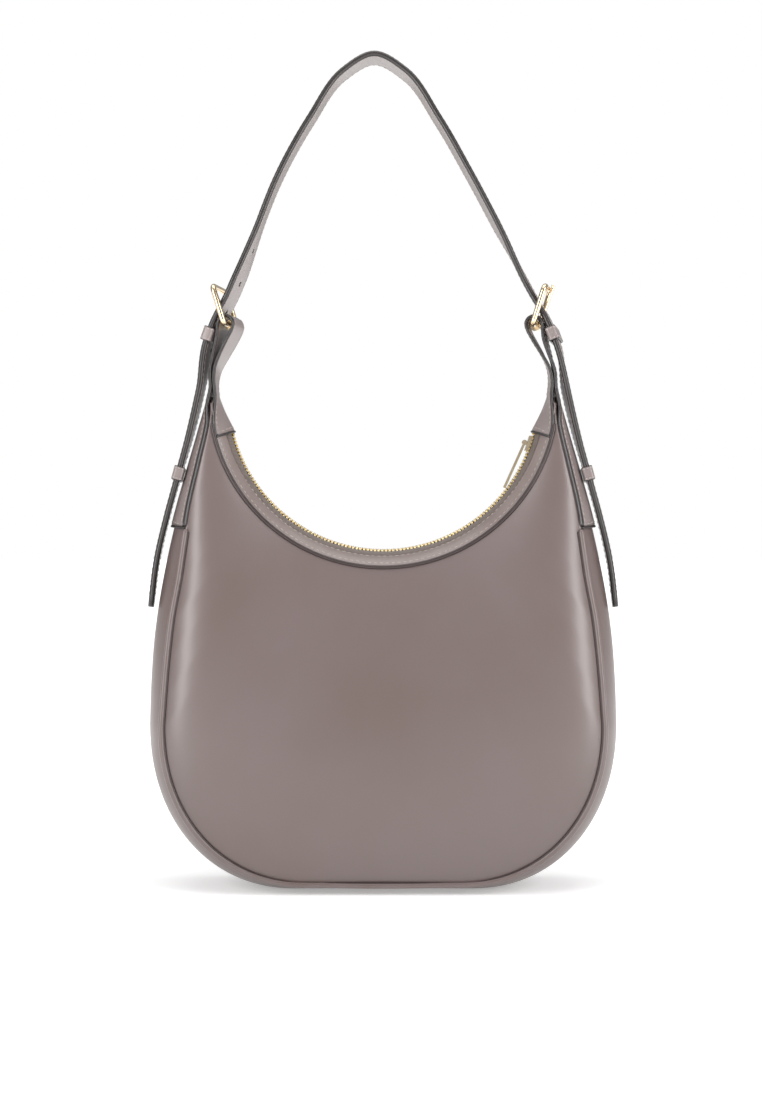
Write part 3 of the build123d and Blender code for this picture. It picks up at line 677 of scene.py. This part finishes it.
# necks: one strip a side, sewn on the gusset, folded round the buckle and sewn over the zip end
neck = {
    "thickness": 2.4 * mm, "halfWidth": 12.5 * mm, "loopRadius": 5.35 * mm,
    "turn": 12.0,  # both necks hang turned by this many degrees, the same way seen from above
    "turnFrom": 337 * mm, "turnFull": 372 * mm, "turnUntil": 410 * mm, "turnEnd": 455 * mm,
    "turnAxis": 109 * mm, "turnAxisTop": (441 * mm, 85 * mm), "turnBeyond": 60 * mm,
    # the hanging tails toe in by this much per mm of width
    "tailToe": 0.1, "toeFull": 262 * mm, "toeClear": 3 * mm,
    "lift": 1.35 * mm, "sideOverlap": 0.7 * mm,  # middle of the tab leather above the gusset
    # the route of the middle line, in mm: up from the horn to the bar, and from the bar down to the zip
    "sewnTop": 322 * mm, "outerLeg": ((116.9, 338), (116.5, 351), (113.4, 362), (110.4, 373)),
    "innerLeg": ((103.2, 371.5), (108.0, 363), (113.4, 351), (114.0, 338), (110.4, 327)),
    "loopTurns": (6, 45, 90, 135, 180, 205), "widenOver": 22 * mm,
    # the sewn end spreads like a roof over the zip
    "flare": 2.2 * mm, "roofDrop": 13.0 * mm, "roofPower": 1.6, "crestIn": 1.4 * mm,
    "endRound": 6 * mm, "zipEndRound": 3 * mm, "endBead": 0.85 * mm, "endLift": 0.5 * mm,
    "endBow": 1.2 * mm, "stitchInset": 2.3 * mm, "stitchPitch": 3.6 * mm,
}


def turnNecks(points):
    x, y, z = points.T
    amount = ease((z - neck["turnFrom"]) / (neck["turnFull"] - neck["turnFrom"]))
    amount = amount * (1 - ease((z - neck["turnUntil"]) / (neck["turnEnd"] - neck["turnUntil"])))
    angle = np.radians(neck["turn"]) * amount
    axisTop, axisTopX = neck["turnAxisTop"]
    axis = np.sign(x) * np.interp(z, (neck["turnUntil"], axisTop), (neck["turnAxis"], axisTopX))
    away = x - axis
    turned = np.stack(
        (axis + away * np.cos(angle) + y * np.sin(angle), y * np.cos(angle) - away * np.sin(angle), z), 1)
    toe = neck["tailToe"] * ease((neck["turnFrom"] - z) / (neck["turnFrom"] - neck["toeFull"]))
    turned[:, 0] += np.sign(x) * y * toe * (np.abs(x) > crestX(z) + neck["toeClear"])
    return np.where((np.abs(x) > neck["turnBeyond"])[:, None], turned, points)


def neckStations():
    # centre line of the right neck in the XZ plane
    sideHeights = np.linspace(tabLow.z, neck["sewnTop"], 9)
    sewn = [(crestX(z) + neck["lift"], z) for z in sideHeights]
    outerLeg, innerLeg = ([(x * mm, z * mm) for x, z in neck[leg]] for leg in ("outerLeg", "innerLeg"))
    turns, radius = np.radians(neck["loopTurns"]), neck["loopRadius"]
    loop = [(heel[0] + radius * math.cos(a), heel[2] + radius * math.sin(a)) for a in turns]
    zipEnd = (endTabLow.x - neck["crestIn"], endTabLow.z - 1 * mm)
    flat = smoothLine(sewn + outerLeg + loop + innerLeg + [zipEnd], 1.6 * mm)
    return np.stack((flat[:, 0], 0 * flat[:, 0], flat[:, 1]), 1)


line = neckStations()
along = alongLine(line)
top = int(np.argmax(line[:, 2]))
isOuter = np.arange(len(line)) < top
foldStart = foldHeight - 14 * mm  # the roof over the zip end spreads from this height down
sideDepth = halfDepth(line[:, 2]) + neck["sideOverlap"]
blendDown = ease((neck["turnFrom"] - line[:, 2]) / neck["widenOver"]) * isOuter
roof = ease((foldStart - line[:, 2]) / (foldStart - endTabLow.z)) * ~isOuter
widths = neck["halfWidth"] + (np.maximum(sideDepth, neck["halfWidth"]) - neck["halfWidth"]) * blendDown
widths = widths + roof * neck["flare"]
crownDrop = (crestX(line[:, 2]) - seamX(line[:, 2])) * (widths / sideDepth) ** body["roundness"]
drops = np.where(isOuter, crownDrop * blendDown, 0.0)
powers = np.where(isOuter, body["roundness"], neck["roofPower"])
drops = drops + roof * neck["roofDrop"]
fromEnd = np.minimum(along, neck["endRound"]) / neck["endRound"]
rounding = neck["endRound"] * (1 - np.sqrt(1 - (1 - fromEnd) ** 2))
lastEnd = np.minimum(along[-1] - along, neck["zipEndRound"]) / neck["zipEndRound"]
rounding = rounding + neck["zipEndRound"] * (1 - np.sqrt(1 - (1 - lastEnd) ** 2))
neckWidths = widths - rounding
ahead = unit(np.gradient(line, axis=0))
wide = np.tile((0.0, 1.0, 0.0), (len(line), 1))
outward = -np.cross(ahead, wide)  # away from the heel bar all the way round
for word, sign in {"left": -1, "right": 1}.items():
    mirror = np.array((sign, 1, 1))
    strip = stripPiece(
        word + "_neck_leather", line * mirror, wide, outward * mirror, neckWidths, neck["thickness"],
        [calfTab, edgePaint], drops, powers)
    applyModifier(strip, "SUBSURF", levels=1, render_levels=1)
    reshape(strip, turnNecks)
    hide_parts(word + "_side_tab", word + "_buckle_tab", word + "_zip_end_tab")
    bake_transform(strip)

    rows = []
    sewnPart = slice(3, len(line) - 2)
    for edge in (-1, 1):
        offset = (widths - neck["stitchInset"]) * edge
        lift = neck["thickness"] / 2 - dropAt(offset, widths, drops, powers)
        row = line + wide * offset[:, None] + outward * lift[:, None]
        rows.append(stitchRow((row * mirror)[sewnPart], (outward * mirror)[sewnPart], neck["stitchPitch"]))
    for index in (2, len(line) - 3):  # the sewn ends
        offset = np.linspace(-1, 1, 21) * (widths[index] - neck["stitchInset"] - 1.5 * mm)
        lift = neck["thickness"] / 2 - dropAt(offset, widths[index], drops[index], powers[index])
        row = line[index] + wide[index] * offset[:, None] + outward[index] * lift[:, None]
        rows.append(stitchRow(row * mirror, np.tile(outward[index] * mirror, (21, 1)), neck["stitchPitch"]))
    for end, index in {"low": 0, "zip": len(line) - 1}.items():  # edge paint across the sewn ends; at the low end of the side tab the dark bead is also painted shadow under the tab's end
        offset = np.linspace(-1, 1, 25) * (widths[index] - 1.2 * mm)
        lift = neck["endLift"] - dropAt(offset, widths[index], drops[index], powers[index])
        away = ahead[index] * (-1 if index == 0 else 1)
        bow = neck["endBow"] * (1 - (offset / widths[index]) ** 2)
        row = line[index] + wide[index] * offset[:, None] + outward[index] * lift[:, None]
        row = row + away * (bow[:, None] - neck["endBow"])
        bead = tubePiece(f"{word}_neck_{end}_edge", row * mirror, neck["endBead"], [edgePaint], 10)
        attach(bead, "bag")
    sewing = stitchPiece(word + "_neck_stitches", rows, thread)
    reshape(sewing, turnNecks)
    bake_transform(sewing)
print("necks made")

# shoulder strap: one strip from the left tail, over the arch, to the right tail
strap = {
    "thickness": 3.8 * mm, "halfWidth": 12.4 * mm, "crown": 0.25 * mm,
    "tipRound": 9 * mm, "tipNarrow": 4 * mm, "stitchInset": 2.4 * mm, "stitchPitch": 4.0 * mm,
    # half of the arch, in mm: distance out and drop below the top, then beside the neck
    "arch": ((21, 11.0), (43.5, 42.5), (66, 82.5), (85, 123.5), (102.3, 161.5)),
    "beside": ((119, 368), (124.6, 338)), "tailHeights": (304, 277, 250, 222), "barReach": 9.4 * mm,
    "lean": -6 * mm, "leanFrom": 388 * mm, "leanFull": 500 * mm,  # the arch settles a little to the left
    "tailStandoff": 7.15 * mm, "holeRadius": 1.7 * mm, "holePitch": 25 * mm, "firstHole": 6.5 * mm,
    "holes": (-2, -1, 0, 1, 3, 4), "holeSides": 16, "slotStretch": 3.0,
}


def strapLine():
    top = strapHigh.z - strap["thickness"] / 2
    right = [(x * mm, top - drop * mm) for x, drop in strap["arch"]]
    right.append((heel[0] + strap["barReach"], heel[2] + 1 * mm))
    right += [(x * mm, z * mm) for x, z in strap["beside"]]
    right += [(crestX(z * mm) + strap["tailStandoff"], z * mm) for z in strap["tailHeights"]]
    right.append((tailHigh.x - strap["thickness"] / 2 - 0.4 * mm, tailLow.z + 0.5 * mm))
    whole = [(-x, z) for x, z in right[::-1]] + [(0.0, top)] + right
    flat = smoothLine(whole, 2.5 * mm)
    return np.stack((flat[:, 0], 0 * flat[:, 0], flat[:, 1]), 1)


def settleArch(points):
    amount = ease((points[:, 2] - strap["leanFrom"]) / (strap["leanFull"] - strap["leanFrom"]))
    return turnNecks(points) + np.outer(amount * strap["lean"], (1, 0, 0))


line = strapLine()
along = alongLine(line)
ahead = unit(np.gradient(line, axis=0))
wide = np.tile((0.0, 1.0, 0.0), (len(line), 1))
outward = np.cross(ahead, wide)
fromTip = np.minimum(np.minimum(along, along[-1] - along), strap["tipRound"]) / strap["tipRound"]
widths = strap["halfWidth"] - strap["tipNarrow"] * (1 - np.sqrt(1 - (1 - fromTip) ** 2))
strapPiece = stripPiece(
    "shoulder_strap_leather", line, wide, outward, widths, strap["thickness"], [calfStrap, edgePaint],
    crown=strap["crown"])


def placeOnStrap(distance):
    # middle, facing and direction of the strip, at a distance from the left tip
    return [pick(values, along, [distance])[0] for values in (line, outward, ahead)]


# adjusting holes, punched through, with a slot where the prong stands
middle = len(line) // 2
prongAt = along[middle:][np.argmin(np.abs(line[middle:, 2] - (heel[2] + strap["firstHole"])))]
cutterPoints, cutterFaces = [], []
cutterSides, cutterReach = strap["holeSides"], 4 * mm  # it stands this far out of each face
turn = np.linspace(0, 2 * math.pi, cutterSides, endpoint=False)
cutterOne = gridFaces(2, cutterSides, False, True) + capFaces(2, cutterSides)
for count in strap["holes"]:
    for mirror in (-1, 1):
        distance = prongAt + count * strap["holePitch"]
        centre, normal, direction = placeOnStrap(distance)
        flip = np.array((mirror, 1, 1))
        start = len(cutterPoints)
        broadWay = wide[0] * strap["holeRadius"]
        longWay = direction * strap["holeRadius"] * (strap["slotStretch"] if count == 0 else 1.0)
        for end in (-1, 1):
            for a in turn:
                spot = centre + normal * end * cutterReach + broadWay * math.cos(a) + longWay * math.sin(a)
                cutterPoints.append(spot * flip)
        cutterFaces += [tuple(start + i for i in face) for face in cutterOne]
cutter = makePiece("holeCutter", cutterPoints, cutterFaces, [edgePaint])
applyModifier(strapPiece, "BOOLEAN", object=cutter, operation="DIFFERENCE", solver="EXACT")
bpy.data.objects.remove(cutter)
reshape(strapPiece, settleArch)
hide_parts("shoulder_strap", "left_strap_tail", "right_strap_tail")
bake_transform(strapPiece)

rows = []
inside, threadProud = slice(3, len(line) - 3), 0.06 * mm
for edge in (-1, 1):
    for face in (-1, 1):
        offset = (widths - strap["stitchInset"]) * edge
        row = line + wide * offset[:, None] + outward * face * (strap["thickness"] / 2 + threadProud)
        rows.append(stitchRow(row[inside], outward[inside] * face, strap["stitchPitch"]))
sewing = stitchPiece("shoulder_strap_stitches", rows, thread)
reshape(sewing, settleArch)
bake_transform(sewing)
print("strap made, vertices:", len(strapPiece.data.vertices))

# keepers: short closed loops that hold the tails
keeper = {
    "thickness": 1.5 * mm, "halfHeight": 4.9 * mm, "gap": 0.3 * mm, "corner": 1.5 * mm,
    "cornerPoints": 7, "spacing": 2 * mm,
    "stitchInset": 1.5 * mm, "stitchPitch": 2.9 * mm, "stitchLength": 1.9 * mm, "stitchWidth": 0.55 * mm,
}


def keeperPath():
    # points round the tail, seen along it, and the way each faces
    deep = strap["thickness"] / 2 + keeper["gap"] + keeper["thickness"] / 2
    broad = strap["halfWidth"] + keeper["gap"] + keeper["thickness"] / 2
    corner = keeper["corner"]
    turns = np.radians(np.linspace(0, 90, keeper["cornerPoints"]))
    path, faceOut = [], []
    for sx, sy in ((1, 1), (-1, 1), (-1, -1), (1, -1)):
        order = turns if sx * sy > 0 else turns[::-1]
        for a in order:
            facing = np.array((sx * math.cos(a), sy * math.sin(a)))
            path.append(np.array((sx * (deep - corner), sy * (broad - corner))) + facing * corner)
            faceOut.append(facing)
    path, faceOut = np.array(path), np.array(faceOut)
    dense, denseOut = [], []
    for k in range(len(path)):  # add points on the long straight runs
        nextK = (k + 1) % len(path)
        pieces = max(1, int(np.linalg.norm(path[nextK] - path[k]) / keeper["spacing"]))
        for s in range(pieces):
            share = s / pieces
            dense.append(path[k] * (1 - share) + path[nextK] * share)
            denseOut.append(faceOut[k] * (1 - share) + faceOut[nextK] * share)
    return np.array(dense), unit(np.array(denseOut))


dense, denseOut = keeperPath()
for word, sign in {"left": -1, "right": 1}.items():
    for level, rider in {"upper": "strap", "lower": "bag"}.items():
        node = word + "_" + level + "_keeper"
        lowCorner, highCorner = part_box(node)
        middleHeight = (lowCorner.z + highCorner.z) / 2
        distance = along[middle:][np.argmin(np.abs(line[middle:, 2] - middleHeight))]
        centre, normal, direction = placeOnStrap(distance)
        mirror = np.array((sign, 1, 1))
        loop = centre + dense[:, :1] * normal + dense[:, 1:] * wide[0]
        loopOut = denseOut[:, :1] * normal + denseOut[:, 1:] * wide[0]
        tall = np.tile(direction, (len(loop), 1))
        ring = stripPiece(
            node + "_leather", loop * mirror, tall * mirror, loopOut * mirror, keeper["halfHeight"],
            keeper["thickness"], [calfTab, edgePaint], closed=True)
        reshape(ring, turnNecks)
        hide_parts(node)
        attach(ring, rider)
        rows = []
        sewnAt = direction * (keeper["halfHeight"] - keeper["stitchInset"])
        for edge in (-1, 1):
            row = loop + sewnAt * edge + loopOut * keeper["thickness"] / 2
            closedRow = np.vstack((row, row[:1]))
            closedOut = np.vstack((loopOut, loopOut[:1]))
            rows.append(stitchRow(closedRow * mirror, closedOut * mirror, keeper["stitchPitch"]))
        sewing = stitchPiece(
            node + "_stitches", rows, thread, keeper["stitchLength"], keeper["stitchWidth"])
        reshape(sewing, turnNecks)
        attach(sewing, rider)
print("keepers made")

# buckle frames and prongs
buckle = {
    "wire": 1.9 * mm, "halfFrame": 15.5 * mm, "length": 26.25 * mm, "lean": 17.7, "corner": 4.0 * mm,
    "heelCorner": 2.6 * mm}


def roundedLoop(corners, radii, steps=8):
    # closed path with rounded corners, in the plane of the given 3D corners
    corners = np.array(corners)
    path = []
    for i, corner in enumerate(corners):
        before, after = unit(corners[i - 1] - corner), unit(corners[(i + 1) % len(corners)] - corner)
        radius = radii[i]
        centre = corner + (before + after) * radius
        for share in np.linspace(0, 1, steps):
            a = share * math.pi / 2
            path.append(centre - after * radius * math.cos(a) - before * radius * math.sin(a))
    return np.array(path)


for word, sign in {"left": -1, "right": 1}.items():
    lean = math.radians(buckle["lean"])
    upward = np.array((math.sin(lean), 0, math.cos(lean)))
    half = buckle["halfFrame"]
    frontBar, backBar = np.array((0, -half, 0)), np.array((0, half, 0))
    toe = upward * buckle["length"]
    corners = [heel + frontBar, heel + frontBar + toe, heel + backBar + toe, heel + backBar]
    path = roundedLoop(
        corners, (buckle["heelCorner"], buckle["corner"], buckle["corner"], buckle["heelCorner"]))
    path = path * np.array((sign, 1, 1))
    ring = tubePiece(word + "_buckle_wire", path, buckle["wire"], [champagneGold], 20, closed=True)
    reshape(ring, turnNecks)
    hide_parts(word + "_buckle_frame")
    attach(ring, word + "_buckle")

    node = frame["nodes"][word + "_buckle_prong"]
    prong = bpy.data.objects.new(word + "_prong_bar", node.data.copy())
    bpy.context.scene.collection.objects.link(prong)
    prong.data.materials.clear()
    prong.data.materials.append(champagneGold)
    reshape(prong, turnNecks)
    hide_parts(word + "_buckle_prong")
    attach(prong, word + "_prong")
print("buckles made")

# lining, slip pocket and the frame nodes that keep their own shape
lining = {
    "inset": 2.6 * mm, "thickness": 0.5 * mm, "pocketThickness": 0.7 * mm, "pocketSlack": 1.6 * mm,
    "pocketGap": 0.9 * mm, "pocketColumns": 41, "pocketRows": 25, "hemRadius": 1.1 * mm,
}
for word, side in sides.items():
    grid = panelGrid(side, lining["inset"])[1:-1]
    cloth = sheetPiece(word + "_lining_cloth", grid, liningCloth, lining["thickness"])
    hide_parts("lining")
    followMouth(cloth)
    if side > 0:
        backLining = BVHTree.FromObject(cloth, bpy.context.evaluated_depsgraph_get())
cloth = sheetPiece(
    "gusset_lining_cloth", gussetGrid(lining["inset"]), liningCloth, lining["thickness"])
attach(cloth, "bag")

pocketLow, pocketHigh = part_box("inner_pocket")
pocketGrid = []
for z in np.linspace(pocketLow.z, pocketHigh.z, lining["pocketRows"]):
    hang = lining["pocketSlack"] * ease((z - pocketLow.z) / (pocketHigh.z - pocketLow.z))
    row = []
    for x in np.linspace(pocketLow.x, pocketHigh.x, lining["pocketColumns"]):
        hit = backLining.ray_cast(Vector((x, 0, z)), Vector((0, 1, 0)))[0]
        slack = hang * (1 - (x / pocketHigh.x) ** 2)
        row.append((x, hit.y - lining["pocketGap"] - slack, z))
    pocketGrid.append(row)
pocketGrid = np.array(pocketGrid)
pocket = sheetPiece(
    "inner_pocket_cloth", pocketGrid, liningCloth, lining["pocketThickness"], (0, 0.2, 0.13))
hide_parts("inner_pocket")
followMouth(pocket)
hem = tubePiece("inner_pocket_hem", pocketGrid[-1], lining["hemRadius"], [calfBand], 8)
followMouth(hem)

kept = {
    "base_board": fibreBoard, "zip_top_stops": zipBrass, "zip_bottom_stop": zipBrass,
    "zip_slider": champagneGold, "zip_pull": champagneGold,
}
for name, material in kept.items():
    node = frame["nodes"][name]
    node.data.materials.clear()
    node.data.materials.append(material)
print("lining and small parts made")

# floor, light and camera
stage = {
    "floorColour": "f4f4f4", "floorGlow": 0.3, "farGlow": 0.95, "glowFrom": 0.35, "glowFull": 0.9,
    "worldLight": 0.46, "fibreSize": 2.5,
    "cameraAside": -0.0015, "cameraDistance": 1.150, "cameraHeight": 0.229, "lens": 55.18,
}
# matt photographer's paper: even white, soft shadow
floorMaterial, tree, place, output = startMaterial("paperFloor")
reach = addNode(tree, "ShaderNodeVectorMath", {"operation": "LENGTH"}, {0: place})
glow = addNode(tree, "ShaderNodeMapRange", {"interpolation_type": "SMOOTHSTEP"}, {
    "Value": reach.outputs["Value"], "From Min": stage["glowFrom"], "From Max": stage["glowFull"],
    "To Min": stage["floorGlow"], "To Max": stage["farGlow"]})  # the paper is lit more strongly further out
fibres = noise(tree, place, stage["fibreSize"], 2.0)
finishMaterial(tree, output, {
    "Base Color": linear(stage["floorColour"]), "Roughness": 0.9, "Specular IOR Level": 0.1,
    "Emission Color": (1, 1, 1, 1), "Emission Strength": glow.outputs["Result"],
    "Normal": bumpFrom(tree, 0.05, 0.1, fibres)})
far = 40.0  # metres to each side
floor = makePiece(
    "studio_floor", [(-far, -far, 0), (far, -far, 0), (far, far, 0), (-far, far, 0)], [(0, 1, 2, 3)],
    [floorMaterial])

world = bpy.data.worlds.new("studioWorld")
world.use_nodes = True
bpy.context.scene.world = world
tree = world.node_tree
tree.nodes.clear()
ray = addNode(tree, "ShaderNodeLightPath")
plain = addNode(tree, "ShaderNodeBackground", None, {"Color": (1, 1, 1, 1), "Strength": 1.0})
soft = addNode(tree, "ShaderNodeBackground", None, {"Color": (1, 1, 1, 1), "Strength": stage["worldLight"]})
choice = addNode(tree, "ShaderNodeMixShader", None, {
    0: ray.outputs["Is Camera Ray"], 1: soft.outputs[0], 2: plain.outputs[0]})
addNode(tree, "ShaderNodeOutputWorld", None, {"Surface": choice.outputs[0]})

# softboxes: place, point they face, width, height, power in watts
softboxes = {
    "leftSoftbox": ((-0.85, -0.85, 0.42), (0, 0, 0.2), 0.3, 1.3, 11),
    "rightSoftbox": ((0.95, -0.75, 0.45), (0, 0, 0.22), 0.35, 1.3, 12),
    "topSoftbox": ((0.0, -0.15, 1.5), (0, 0, 0.1), 1.4, 1.0, 11),
}
for name, (spot, target, width, height, watts) in softboxes.items():
    light = bpy.data.lights.new(name, "AREA")
    light.shape = "RECTANGLE"
    light.size, light.size_y, light.energy = width, height, watts
    lamp = bpy.data.objects.new(name, light)
    lamp.location = spot
    lamp.rotation_euler = (Vector(target) - Vector(spot)).to_track_quat("-Z", "Y").to_euler()
    bpy.context.scene.collection.objects.link(lamp)

camera = bpy.data.cameras.new("studioCamera")
camera.lens, camera.sensor_width = stage["lens"], 36.0
cameraObject = bpy.data.objects.new("studioCamera", camera)
cameraObject.location = (stage["cameraAside"], -stage["cameraDistance"], stage["cameraHeight"])
cameraObject.rotation_euler = (math.radians(90), 0, 0)
bpy.context.scene.collection.objects.link(cameraObject)
bpy.context.scene.camera = cameraObject
bpy.context.scene.view_settings.view_transform = "Standard"
print("stage set")
